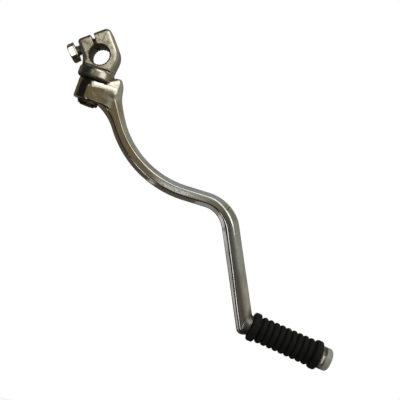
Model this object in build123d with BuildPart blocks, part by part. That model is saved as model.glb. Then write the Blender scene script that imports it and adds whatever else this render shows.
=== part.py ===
import os
from math import cos, radians, sin, sqrt, tan

from build123d import *

# A folding kick start lever. The shaft bore runs along Y through the origin, the fold pivot is upright
# and the arm reaches out along +X and down. All sizes are millimetres and degrees.

# Clamp end of the knuckle, measured from the bore axis; the clamp leans over about the bore
bore_radius = 7.0
serration_count = 24
serration_depth = 0.7
serration_width = 0.95
mouth_chamfer = 1.0
clamp_depth = 20.0
clamp_lean = 40.0
clamp_left = 11.3
clamp_right = 13.6
clamp_wall = 1.2
slit_width = 2.4
left_corner = 2.6
right_corner = 4.0
shoulder_round = 6.0
edge_round = 2.4
neck_left = 9.6
neck_right = 13.9
neck_foot = 12.2
neck_sink = 1.2

# Pinch bolt, backed out of the clamp
bolt_radius = 3.9
bolt_length = 22.0
bolt_lean = 44.0
bolt_gap = 0.25
bolt_backed_out = 3.7
bolt_hole_end = 1.0
bolt_tip = 0.8
head_across_flats = 13.0
head_height = 5.3
head_face_radius = 6.1
head_bevel = 30.0
head_turn = 30.0
thread_clearance = 0.05

# Fold pivot of the knuckle: disc with a stop notch, and the stub below it
pivot_offset = 1.4
disc_drop = 9.7
disc_thickness = 8.2
disc_radius = 13.7
disc_round = 2.4
notch_radius = 12.2
stub_radius = 5.5
stub_tail = 1.0
stub_chamfer = 0.6
fold_angle = 90.0
running_clearance = 0.05
face_gap = 0.1
side_gap = 0.3

# Thrust washer and circlip under the hub
washer_radius = 7.6
washer_thickness = 1.3
clip_thickness = 1.2
clip_groove_depth = 0.5
clip_band = 1.9
clip_opening = 60.0
clip_ear_radius = 1.5
clip_hole_radius = 0.6
clip_turn = -50.0

# Hub and stop lug of the arm
hub_radius = 11.3
hub_height = 15.4
hub_chamfer = 0.9
hub_round = 1.2
nose_reach = 11.0
nose_radius = 8.0
lug_height = 5.8
lug_reach = 19.9
lug_base_half = 6.8
lug_top_half = 2.6
lug_corner = 2.0
lug_root = 4.5
lug_gap = 0.2

# Arm centreline in the XZ plane: root, two bends and the elbow
root_x = 11.0
root_z = -17.5
first_bend_x = 50.8
first_bend_z = -74.4
second_bend_x = 122.6
second_bend_z = -71.5
elbow_x = 162.3
elbow_z = -147.3
first_bend_radius = 72.0
second_bend_radius = 24.6

# Arm section: half sizes in the arm's plane and out of it, with leaning flanks beside the flat front
waist_half = 5.45
leg_half = 6.3
arm_half_depth = 5.7
flank_width = 3.0
flank_depth = 4.2
arm_edge = 1.5
root_start = 1.0
root_length = 32.0
root_flare = 9.6
root_shift = 5.0
root_depth = 2.4
elbow_radius = 7.3
elbow_step = 0.45
station_spacing = 8.0

# Pedal rod with its shoulder and end button, and the rubber on it
pedal_drop = 4.7
rod_radius = 5.8
shoulder_length = 5.0
button_radius = 8.4
button_length = 8.6
button_round = 2.6
button_edge = 0.8
rubber_gap = 0.05
rib_count = 9
rib_pitch = 4.6
rib_height = 2.1
valley_thickness = 2.05
valley_land = 1.0
flange_height = 2.9
flange_length = 5.4
flange_round = 1.6

# Detent in the hub's top face
ball_radius = 2.5
ball_orbit = 9.0
dimple_depth = 1.1
detent_clearance = 0.1
spring_wire = 0.7
spring_turns = 5
spring_depth = 8.0

# Heights and places worked out from the sizes above
bolt_rise = bore_radius + bolt_radius + bolt_gap
bolt_hole_radius = bolt_radius + thread_clearance
clamp_top = bolt_rise + bolt_hole_radius + clamp_wall
disc_bottom = -disc_drop - disc_thickness
hub_top = disc_bottom - face_gap
hub_bottom = hub_top - hub_height
washer_top = hub_bottom - face_gap
clip_top = washer_top - washer_thickness
clip_bottom = clip_top - clip_thickness
stub_bottom = clip_bottom - stub_tail
groove_radius = stub_radius - clip_groove_depth
clip_inner = groove_radius + running_clearance
clip_outer = clip_inner + clip_band
clip_reach = clip_outer + clip_ear_radius
lug_top = hub_top + lug_height
shoulder_radius = elbow_radius - elbow_step
rubber_bore = rod_radius + rubber_gap
valley_radius = rubber_bore + valley_thickness
flange_radius = valley_radius + flange_height
rubber_length = 2 * (flange_length + valley_land) + rib_count * rib_pitch
button_start = shoulder_length + rubber_length + 2 * rubber_gap
ball_height = hub_top - ball_radius
detent_floor = ball_height - ball_radius - spring_depth
spring_radius = ball_radius - spring_wire / 2
clip_facing = radians(clip_turn)
clip_plane = Plane((pivot_offset, 0, clip_bottom), x_dir=(cos(clip_facing), sin(clip_facing), 0))
lean = radians(clamp_lean)
clamp_plane = Plane((0, 0, 0), x_dir=(cos(lean), 0, sin(lean)), z_dir=(0, -1, 0))
bolt_way = Vector(cos(radians(bolt_lean)), 0, sin(radians(bolt_lean)))
bolt_middle = clamp_plane.from_local_coords(Vector(0, bolt_rise, 0))
bolt_plane = Plane(bolt_middle - bolt_way * (clamp_left + bolt_backed_out), x_dir=(0, 1, 0), z_dir=bolt_way)
drop = radians(pedal_drop)
pedal_plane = Plane((elbow_x, 0, elbow_z), x_dir=(cos(drop), 0, -sin(drop)), z_dir=(0, -1, 0))
pedal_axis = Axis(pedal_plane.origin, pedal_plane.x_dir)


def clamp_point(along_bolt, along_slit):
    return (
        along_bolt * cos(lean) - along_slit * sin(lean),
        along_bolt * sin(lean) + along_slit * cos(lean),
    )


def side_point(along_bolt, x):
    # Where a side of the clamp, parallel to the slit, comes down to the given x
    along_slit = (along_bolt * cos(lean) - x) / sin(lean)
    return clamp_point(along_bolt, along_slit)


def pivot_height(z):
    return Plane((pivot_offset, 0, z))


def lug_plane(turn):
    # Upright plane through the pivot, facing the lug after the arm has folded by turn
    facing = radians(turn)
    outward = (cos(facing), sin(facing), 0)
    return Plane((pivot_offset, 0, 0), x_dir=(-sin(facing), cos(facing), 0), z_dir=outward)


def lug_outline(gap):
    # Upright section of the stop lug; gap opens the same shape for the notch that it works in
    return Polyline(
        (-lug_base_half - gap, hub_top - lug_root),
        (-lug_base_half - gap, hub_top),
        (-lug_top_half - gap, lug_top + gap),
        (lug_top_half + gap, lug_top + gap),
        (lug_base_half + gap, hub_top),
        (lug_base_half + gap, hub_top - lug_root),
        close=True,
    )


def fraction(value, start, end):
    # Smooth step from 0 at start to 1 at end
    share = min(max((value - start) / (end - start), 0), 1)
    return share * share * (3 - 2 * share)


# Space that the stop lug sweeps beside the disc, with a matching end at each limit of the fold
with BuildPart() as notch:
    with BuildSketch(pivot_height(disc_bottom)):
        Circle(disc_radius + side_gap)
        with BuildLine():
            reach = 2 * disc_radius
            spread = reach * lug_top_half / notch_radius
            Polyline((0, 0), (reach, -spread), (reach, reach), (-spread, reach), close=True)
        make_face(mode=Mode.INTERSECT)
    extrude(amount=disc_thickness)
    for turn in (0, fold_angle):
        with BuildSketch(lug_plane(turn)):
            with BuildLine():
                lug_outline(lug_gap)
            make_face()
        extrude(amount=disc_radius + side_gap)
    with BuildSketch(pivot_height(hub_top - lug_root)):
        Circle(notch_radius)
    extrude(amount=lug_root + disc_thickness + face_gap, mode=Mode.SUBTRACT)

# Round disc of the knuckle, with both rims rounded
with BuildPart() as pivot_disc:
    with BuildSketch(pivot_height(disc_bottom)):
        Circle(disc_radius)
    extrude(amount=disc_thickness)
    fillet(pivot_disc.edges().filter_by(GeomType.CIRCLE), disc_round)

# Knuckle: split clamp, disc and pivot stub in one forging
with BuildPart() as knuckle:
    left_top = clamp_point(-clamp_left, clamp_top)
    right_top = clamp_point(clamp_right, clamp_top)
    right_shoulder = side_point(clamp_right, neck_right)
    left_shoulder = side_point(-clamp_left, -neck_left)
    with BuildSketch(Plane.XZ) as side_view:
        with BuildLine():
            Polyline(
                left_top,
                right_top,
                right_shoulder,
                (neck_foot, -disc_drop - neck_sink),
                (-neck_left, -disc_drop - neck_sink),
                left_shoulder,
                close=True,
            )
        make_face()
        for corner, radius in (
            (left_top, left_corner),
            (right_top, right_corner),
            (right_shoulder, shoulder_round),
            (left_shoulder, shoulder_round),
        ):
            fillet(side_view.vertices().sort_by_distance(corner)[:1], radius)
    extrude(amount=clamp_depth / 2, both=True)
    rims = knuckle.edges().filter_by(lambda edge: abs(edge.tangent_at(0.5).Y) < 0.5)
    fillet(rims.filter_by(lambda edge: edge.center().Z > -disc_drop - neck_sink + face_gap), edge_round)
    # Disc and stub, turned about the pivot
    add(pivot_disc.part)
    with BuildSketch(pivot_height(stub_bottom)):
        Circle(stub_radius)
    extrude(amount=disc_bottom - stub_bottom)
    chamfer(knuckle.edges().group_by(Axis.Z)[0], stub_chamfer)
    with BuildSketch(pivot_height(clip_bottom - face_gap)):
        Circle(stub_radius + face_gap)
        Circle(groove_radius, mode=Mode.SUBTRACT)
    extrude(amount=clip_thickness + 2 * face_gap, mode=Mode.SUBTRACT)
    add(notch.part, mode=Mode.SUBTRACT)
    # Dimples that the detent ball snaps into at each end of the fold
    for turn in (0, fold_angle):
        dimple_height = disc_bottom - ball_radius + dimple_depth
        with Locations(lug_plane(turn).from_local_coords((0, dimple_height, ball_orbit))):
            Sphere(ball_radius + detent_clearance, mode=Mode.SUBTRACT)
    # Shaft bore with chamfered mouths
    with BuildSketch(Plane.XZ):
        Circle(bore_radius)
    extrude(amount=clamp_depth, both=True, mode=Mode.SUBTRACT)
    mouths = knuckle.edges().filter_by(GeomType.CIRCLE)
    chamfer(mouths.filter_by(lambda edge: abs(edge.radius - bore_radius) < face_gap), mouth_chamfer)
    # Serrations, leaving out those at the slit so that the wall under the bolt stays whole
    serration_step = 360 / serration_count
    serration_start = 90 + 2 * serration_step
    serration_range = 360 - 4 * serration_step
    groove_count = serration_count - 3
    with BuildSketch(clamp_plane):
        with PolarLocations(bore_radius, groove_count, serration_start, serration_range, endpoint=True):
            Polygon(
                (-serration_depth, -serration_width),
                (serration_depth, 0),
                (-serration_depth, serration_width),
                align=None,
            )
    extrude(amount=clamp_depth, both=True, mode=Mode.SUBTRACT)
    with BuildSketch(clamp_plane):
        Rectangle(slit_width, 2 * clamp_top, align=(Align.CENTER, Align.MIN))
    extrude(amount=clamp_depth, both=True, mode=Mode.SUBTRACT)
    with BuildSketch(bolt_plane):
        Circle(bolt_hole_radius)
    extrude(amount=bolt_length + bolt_hole_end, mode=Mode.SUBTRACT)

# Pinch bolt: bevelled hexagon head, shank and chamfered tip
with BuildPart() as pinch_bolt:
    with BuildSketch(bolt_plane):
        RegularPolygon(head_across_flats / 2, 6, major_radius=False, rotation=head_turn)
    extrude(amount=-head_height)
    with BuildSketch(bolt_plane.offset(-head_height)):
        Circle(head_face_radius)
    extrude(amount=head_height, taper=head_bevel - 90, mode=Mode.INTERSECT)
    with BuildSketch(bolt_plane):
        Circle(bolt_radius)
    extrude(amount=bolt_length)
    tip = pinch_bolt.faces().sort_by(Axis(bolt_plane.origin, bolt_plane.z_dir))[-1]
    chamfer(tip.edges(), bolt_tip)

# Thrust washer between the hub and the circlip
with BuildPart() as thrust_washer:
    with BuildSketch(pivot_height(washer_top)):
        Circle(washer_radius)
        Circle(stub_radius + face_gap, mode=Mode.SUBTRACT)
    extrude(amount=-washer_thickness)

# Circlip with a plier hole in each ear
with BuildPart() as circlip:
    with BuildSketch(clip_plane):
        Circle(clip_outer)
        with BuildLine():
            gap_reach = 2 * clip_outer
            gap_spread = gap_reach * tan(radians(clip_opening / 2))
            Polyline((0, 0), (gap_reach, -gap_spread), (gap_reach, gap_spread), close=True)
        make_face(mode=Mode.SUBTRACT)
        with PolarLocations(clip_outer, 2, -clip_opening / 2, clip_opening, endpoint=True):
            Circle(clip_ear_radius)
            Circle(clip_hole_radius, mode=Mode.SUBTRACT)
        Circle(clip_inner, mode=Mode.SUBTRACT)
    extrude(amount=clip_thickness)

# Stop lug, forged with the arm: its flanks lean in and its outer top edge is rounded
with BuildPart() as stop_lug:
    with BuildSketch(lug_plane(0)):
        with BuildLine():
            lug_outline(0)
        make_face()
    extrude(amount=lug_reach)
    fillet(stop_lug.faces().sort_by(Axis.X)[-1].edges().sort_by(Axis.Z)[-1:], lug_corner)
    with BuildSketch(pivot_height(hub_top)):
        Circle(notch_radius + side_gap)
    extrude(amount=2 * lug_height, mode=Mode.SUBTRACT)

# Hub of the arm: round at the pivot and narrowing towards the arm
with BuildPart() as hub:
    with BuildSketch(pivot_height(hub_bottom)):
        Circle(hub_radius)
        with Locations((nose_reach, 0)):
            Circle(nose_radius)
        make_hull()
    extrude(amount=hub_height)
    chamfer(hub.edges().group_by(Axis.Z)[0], hub_chamfer)
    fillet(hub.edges().group_by(Axis.Z)[-1], hub_round)

# Centreline of the arm
with BuildLine(Plane.XZ) as arm_line:
    FilletPolyline(
        (root_x, root_z),
        (first_bend_x, first_bend_z),
        (second_bend_x, second_bend_z),
        (elbow_x, elbow_z),
        radius=[first_bend_radius, second_bend_radius],
    )
arm_path = arm_line.wire()
leg_start = arm_path.length - arm_path.edges().sort_by_distance(pedal_plane.origin)[0].length
bend_start = leg_start - arm_path.edges().filter_by(GeomType.CIRCLE).sort_by(Axis.X)[-1].length


def arm_section(along):
    # Centre shift, half width in the arm's plane and half depth out of it, at a distance along the arm
    flare = max(0, 1 - along / root_length) ** 2
    to_leg = fraction(along, bend_start, leg_start)
    half_width = waist_half + (leg_half - waist_half) * to_leg + root_flare * flare
    half_depth = arm_half_depth + (leg_half - arm_half_depth) * to_leg + root_depth * flare
    return root_shift * flare, half_width, half_depth


# Kick arm: hub, lug, S-shaped arm, elbow, pedal rod and end button in one forging
with BuildPart() as kick_arm:
    station_count = round((arm_path.length - root_start) / station_spacing)
    for station in range(station_count + 1):
        along = root_start + (arm_path.length - root_start) * station / station_count
        shift, half_width, half_depth = arm_section(along)
        tangent = arm_path.tangent_at(along / arm_path.length)
        across = tangent.cross(Vector(0, 1, 0))
        centre = arm_path.position_at(along / arm_path.length) - across * shift
        flat = half_width - flank_width
        side = half_depth - flank_depth
        with BuildSketch(Plane(centre, x_dir=(0, 1, 0), z_dir=tangent)) as section:
            with BuildLine():
                Polyline(
                    (half_depth, flat),
                    (side, half_width),
                    (-side, half_width),
                    (-half_depth, flat),
                    (-half_depth, -flat),
                    (-side, -half_width),
                    (side, -half_width),
                    (half_depth, -flat),
                    close=True,
                )
            make_face()
            fillet(section.vertices(), arm_edge)
    loft()
    with Locations(pedal_plane.origin):
        Sphere(elbow_radius)
    add(hub.part)
    with BuildSketch(pivot_height(hub_top)):
        Circle(disc_radius + side_gap)
    extrude(amount=disc_thickness, mode=Mode.SUBTRACT)
    add(stop_lug.part)
    with BuildSketch(pivot_height(hub_bottom)):
        Circle(clip_reach + side_gap)
    extrude(amount=-hub_height, mode=Mode.SUBTRACT)
    with BuildSketch(pivot_height(hub_bottom - hub_height)):
        Circle(stub_radius + running_clearance)
    extrude(amount=3 * hub_height, mode=Mode.SUBTRACT)
    with BuildSketch(pivot_height(detent_floor)):
        with Locations((ball_orbit, 0)):
            Circle(ball_radius + detent_clearance)
    extrude(amount=hub_top - detent_floor, mode=Mode.SUBTRACT)
    with BuildSketch(pedal_plane) as rod_profile:
        with BuildLine():
            button_end = button_start + button_length
            Polyline(
                (0, 0),
                (0, shoulder_radius),
                (shoulder_length, shoulder_radius),
                (shoulder_length, rod_radius),
                (button_start, rod_radius),
                (button_start, button_radius),
                (button_end, button_radius),
                (button_end, 0),
                close=True,
            )
        make_face()
        fillet(rod_profile.vertices().sort_by_distance((button_start, button_radius))[:1], button_edge)
        fillet(rod_profile.vertices().sort_by_distance((button_end, button_radius))[:1], button_round)
    revolve(axis=pedal_axis)

# Pedal rubber: a flange at each end and rounded ribs between them
with BuildPart() as pedal_rubber:
    with BuildSketch(pedal_plane) as rubber_profile:
        with BuildLine():
            rubber_start = shoulder_length + rubber_gap
            rubber_end = rubber_start + rubber_length
            ribs_start = rubber_start + flange_length + valley_land
            ribs_end = rubber_end - flange_length - valley_land
            Polyline(
                (ribs_start, valley_radius),
                (rubber_start + flange_length, valley_radius),
                (rubber_start + flange_length, flange_radius),
                (rubber_start, flange_radius),
                (rubber_start, rubber_bore),
                (rubber_end, rubber_bore),
                (rubber_end, flange_radius),
                (rubber_end - flange_length, flange_radius),
                (rubber_end - flange_length, valley_radius),
                (ribs_end, valley_radius),
            )
            for rib in range(rib_count):
                foot = ribs_start + rib * rib_pitch
                crest = (foot + rib_pitch / 2, valley_radius + rib_height)
                ThreePointArc((foot, valley_radius), crest, (foot + rib_pitch, valley_radius))
        make_face()
        rims = rubber_profile.vertices().filter_by(lambda corner: corner.Y > flange_radius - rubber_gap)
        fillet(rims, flange_round)
    revolve(axis=pedal_axis)

# Detent ball, pressed in level with the hub's top face
with BuildPart() as detent_ball:
    with Locations((pivot_offset + ball_orbit, 0, ball_height)):
        Sphere(ball_radius)

# Detent spring: its top turn lies against the lower side of the ball
with BuildPart() as detent_spring:
    contact = ball_radius + spring_wire / 2 + running_clearance
    spring_bottom = detent_floor + spring_wire / 2
    spring_top = ball_height - sqrt(contact ** 2 - spring_radius ** 2)
    spring_height = spring_top - spring_bottom
    with BuildLine():
        coil = Helix(
            spring_height / spring_turns,
            spring_height,
            spring_radius,
            center=(pivot_offset + ball_orbit, 0, spring_bottom),
        )
    with BuildSketch(Plane(coil @ 0, z_dir=coil % 0)):
        Circle(spring_wire / 2)
    sweep(is_frenet=True)

os.makedirs("parts", exist_ok=True)
for name, piece in (
    ("knuckle", knuckle),
    ("pinch_bolt", pinch_bolt),
    ("kick_arm", kick_arm),
    ("pedal_rubber", pedal_rubber),
    ("thrust_washer", thrust_washer),
    ("circlip", circlip),
    ("detent_ball", detent_ball),
    ("detent_spring", detent_spring),
):
    piece.part.label = name
    export_step(piece.part, f"parts/{name}.step")
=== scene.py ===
import math

import bpy
import numpy as np
from mathutils import Matrix, Quaternion, Vector


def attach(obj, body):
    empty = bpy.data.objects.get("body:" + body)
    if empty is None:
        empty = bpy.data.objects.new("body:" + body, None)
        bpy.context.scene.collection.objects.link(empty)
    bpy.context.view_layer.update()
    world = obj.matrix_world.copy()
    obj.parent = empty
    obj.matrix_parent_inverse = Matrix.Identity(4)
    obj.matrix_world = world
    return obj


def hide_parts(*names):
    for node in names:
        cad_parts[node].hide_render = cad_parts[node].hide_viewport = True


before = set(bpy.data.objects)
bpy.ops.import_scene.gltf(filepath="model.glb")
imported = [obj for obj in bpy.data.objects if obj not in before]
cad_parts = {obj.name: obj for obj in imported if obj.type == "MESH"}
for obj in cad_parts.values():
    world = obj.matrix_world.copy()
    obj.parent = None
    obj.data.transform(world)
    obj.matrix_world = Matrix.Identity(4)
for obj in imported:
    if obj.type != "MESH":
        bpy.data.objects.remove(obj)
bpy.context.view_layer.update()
mm = 0.001
foldAxis = 1.4  # where the fold's upright axis crosses X, in millimetres
print("frame loaded:", len(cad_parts), "nodes")


# Shader maths


def mathsNode(operation, swapped=False):
    def apply(self, other):
        first, second = (other, self) if swapped else (self, other)
        return self.board.maths(operation, first, second)
    return apply


class Wire:  # one socket, with Python's operators on it
    def __init__(self, board, socket):
        self.board = board
        self.socket = socket

    def __abs__(self):
        return self.board.maths("ABSOLUTE", self)

    __add__ = mathsNode("ADD")
    __radd__ = mathsNode("ADD", swapped=True)
    __sub__ = mathsNode("SUBTRACT")
    __rsub__ = mathsNode("SUBTRACT", swapped=True)
    __mul__ = mathsNode("MULTIPLY")
    __rmul__ = mathsNode("MULTIPLY", swapped=True)
    __truediv__ = mathsNode("DIVIDE")


class Board:  # one node tree, emptied and filled by its methods
    def __init__(self, tree):
        self.tree = tree
        tree.nodes.clear()

    def node(self, kind, settings, sockets, output=0):
        made = self.tree.nodes.new("ShaderNode" + kind)
        for name, value in settings.items():
            setattr(made, name, value)
        for key, value in sockets.items():
            if isinstance(value, Wire):
                self.tree.links.new(value.socket, made.inputs[key])
            else:
                made.inputs[key].default_value = value
        return Wire(self, made.outputs[output]) if made.outputs else None

    def maths(self, operation, first, second=0):
        return self.node("Math", {"operation": operation}, {0: first, 1: second})

    def place(self):  # metres in the shared frame, as the piece was modelled
        return self.node("TexCoord", {}, {}, "Object")

    def axes(self, vector):  # its three numbers, in millimetres
        return [self.node("SeparateXYZ", {}, {0: vector}, axis) / mm for axis in range(3)]

    def trait(self, name):  # a number kept on the mesh's points
        return self.node("Attribute", {"attribute_name": name}, {}, "Fac")

    def ray(self, kind):  # 1 for rays of that kind
        return self.node("LightPath", {}, {}, "Is " + kind + " Ray")

    def stretched(self, vector, scale):
        return self.node("VectorMath", {"operation": "MULTIPLY"}, {0: vector, 1: scale})

    def noise(self, vector, scale, detail, roughness=0.55):
        sockets = {"Vector": vector, "Scale": scale, "Detail": detail, "Roughness": roughness}
        return self.node("TexNoise", {}, sockets)

    def step(self, value, low, high):  # smooth step from 0 at low to 1 at high
        sockets = {"Value": value, "From Min": low, "From Max": high}
        return self.node("MapRange", {"interpolation_type": "SMOOTHSTEP"}, sockets)

    def patches(self, vector, scale, detail, low, high):  # noise, cut by a smooth step
        return self.step(self.noise(vector, scale, detail), low, high)

    def held(self, value, low, high):  # kept between low and high
        return self.maths("MAXIMUM", low, self.maths("MINIMUM", value, high))

    def blend(self, share, first, second):  # colours as wires, or as red, green and blue
        ends = [end if isinstance(end, Wire) else (*end, 1) for end in (first, second)]
        colourSockets = {0: share, 6: ends[0], 7: ends[1]}
        return self.node("Mix", {"data_type": "RGBA"}, colourSockets, 2)

    def layers(self, colours, first, masks):  # colours laid over the first by their masks
        colour = colours[first]
        for name, mask in masks.items():
            colour = self.blend(mask, colour, colours[name])
        return colour

    def bump(self, height, depth):  # depth is that of a height of 1, in millimetres
        return self.node("Bump", {}, {"Height": height, "Distance": depth * mm})


def newMaterial(name):
    material = bpy.data.materials.new(name)
    material.use_nodes = True
    return material, Board(material.node_tree)


def mixed(amounts, masks):  # the plain amount, and what each mark adds by its mask
    value = amounts["plain"]
    for name, amount in amounts.items():
        if name != "plain":
            value = value + masks[name] * amount
    return value


def surface(board, colour, metallic, roughness, normal, specular=0.5):
    shader = board.node("BsdfPrincipled", {}, {
        "Base Color": colour, "Metallic": metallic, "Roughness": roughness, "Normal": normal,
        "Specular IOR Level": specular,
    })
    board.node("OutputMaterial", {}, {"Surface": shader})


# Distance fields, in millimetres: below zero inside the metal


def smoothMax(first, second, width):
    share = np.clip(0.5 + 0.5 * (first - second) / width, 0, 1)
    return second + (first - second) * share + width * share * (1 - share)


def smoothMin(first, second, width):
    return -smoothMax(-first, -second, width)


def roundMeet(first, second, radius):  # where both hold, with its edge rounded
    first = first + radius
    second = second + radius
    outside = np.hypot(np.maximum(first, 0), np.maximum(second, 0))
    return np.minimum(np.maximum(first, second), 0) + outside - radius


def between(value, low, high):  # distance outside a slab
    return np.abs(value - (low + high) / 2) - (high - low) / 2


def easeStep(value, low, high):
    share = np.clip((value - low) / (high - low), 0, 1)
    return share * share * (3 - 2 * share)


def swept(low, high, share):  # from low to high
    return low + (high - low) * share


def alongLean(x, z, lean):  # distance along a line that leans from X towards Z
    return x * math.cos(lean) + z * math.sin(lean)


def asideLean(x, z, lean):  # distance beside that line
    return z * math.cos(lean) - x * math.sin(lean)


# Meshes


def placed(name, data):  # a new object in the scene
    made = bpy.data.objects.new(name, data)
    bpy.context.scene.collection.objects.link(made)
    return made


def addPiece(name, points, faces, body, node, material):
    mesh = bpy.data.meshes.new(name)
    mesh.from_pydata((np.asarray(points) * mm).tolist(), [], faces)
    mesh.validate()
    mesh.shade_smooth()
    mesh.materials.append(material)
    piece = placed(name, mesh)
    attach(piece, body)
    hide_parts(node)
    print("piece", name, len(mesh.vertices), "points")
    return piece


def keepTrait(piece, name, values):
    layer = piece.data.attributes.new(name, "FLOAT", "POINT")
    layer.data.foreach_set("value", np.asarray(values, np.float32))


def evenMesh(node, voxel):  # evenly meshed copy of a CAD node: points in millimetres, faces, edges
    rough = placed("rough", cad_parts[node].data.copy())
    remesh = rough.modifiers.new("even", "REMESH")
    remesh.mode = "VOXEL"
    remesh.voxel_size = voxel * mm
    bpy.context.view_layer.update()
    shown = rough.evaluated_get(bpy.context.evaluated_depsgraph_get())
    mesh = bpy.data.meshes.new_from_object(shown)
    points = np.empty(len(mesh.vertices) * 3)
    mesh.vertices.foreach_get("co", points)
    edges = np.empty(len(mesh.edges) * 2, np.int32)
    mesh.edges.foreach_get("vertices", edges)
    faces = [tuple(face.vertices) for face in mesh.polygons]
    bpy.data.objects.remove(rough)
    bpy.data.meshes.remove(mesh)
    return points.reshape(-1, 3) / mm, faces, edges.reshape(-1, 2)


settling = {"rounds": 4, "nudges": 3, "reach": 0.02, "flattest": 0.05, "longestMove": 0.8, "spread": 0.6}


def slope(field, points, values):
    reach = settling["reach"]
    steps = [(field(points + reach * axis) - values) / reach for axis in np.eye(3)]
    return np.stack(steps, 1)


def settle(points, edges, field):  # draws the points onto the field's surface, evenly spread
    count = len(points)
    ends = np.concatenate((edges[:, 0], edges[:, 1]))
    others = np.concatenate((edges[:, 1], edges[:, 0]))
    valence = np.bincount(ends, minlength=count)[:, None]
    longest = settling["longestMove"]
    for turn in range(settling["rounds"]):
        for nudge in range(settling["nudges"]):
            values = field(points)
            normal = slope(field, points, values)
            size = np.maximum((normal ** 2).sum(1), settling["flattest"])
            move = np.clip(values / size, -longest, longest)
            points = points - move[:, None] * normal
        if turn < settling["rounds"] - 1:
            sums = [np.bincount(ends, points[others, axis], count) for axis in range(3)]
            drift = np.stack(sums, 1) / valence - points
            normal = normal / np.sqrt(size)[:, None]
            drift -= (drift * normal).sum(1)[:, None] * normal
            points = points + settling["spread"] * drift
    return points


def ringFaces(rows, columns, closed=False):  # quads between rings of points
    faces = []
    for row in range(rows if closed else rows - 1):
        low = row * columns
        high = (row + 1) % rows * columns
        for column in range(columns):
            beside = (column + 1) % columns
            faces.append((low + column, low + beside, high + beside, high + column))
    return faces


def alongAxis(start, way, along, radius, angle):  # points round an axis in the XZ plane
    across = np.array((0.0, 1.0, 0.0))
    third = np.cross(way, across)
    turned = np.cos(angle)[..., None] * across + np.sin(angle)[..., None] * third
    return np.asarray(start) + along[..., None] * np.asarray(way) + radius[..., None] * turned


def fullTurn(columns):
    return np.arange(columns) * 2 * math.pi / columns


def joined(first, firstFaces, second, secondFaces):
    shifted = [tuple(index + len(first) for index in face) for face in secondFaces]
    return np.concatenate((first, second)), firstFaces + shifted


# Kick arm

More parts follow.
